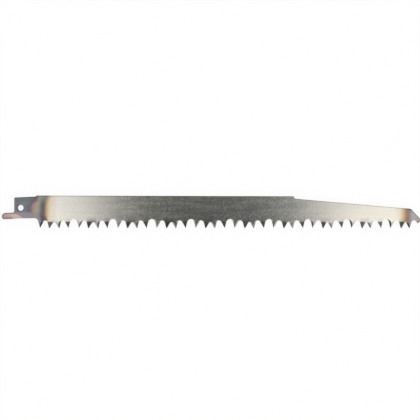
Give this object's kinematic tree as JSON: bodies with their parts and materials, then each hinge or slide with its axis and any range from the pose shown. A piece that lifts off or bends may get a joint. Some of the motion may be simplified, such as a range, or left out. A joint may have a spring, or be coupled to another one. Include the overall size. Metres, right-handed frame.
{
  "type": "reciprocating saw blade",
  "caption": "Flat steel blade for a reciprocating saw: tang with a pin hole and tail, set teeth ground on alternate flanks, stepped back and pointed nose.",
  "frame": {"origin": "centre of the blade's box in X and Y, at the level of the lowest tooth tips, on which it lies", "axes": "+X along the blade from the tang to the nose, +Y across it from the teeth to the back, +Z through its thickness, out of its front face"},
  "size_m": [0.2398, 0.0186, 0.0023],
  "materials": {
    "blade_steel": "bright rolled carbon tool steel, ground tooth flanks, straw to blue heat tints at the tang and at the nose"
  },
  "bodies": {
    "root": {"saw_blade": "blade_steel"}
  },
  "joints": []
}
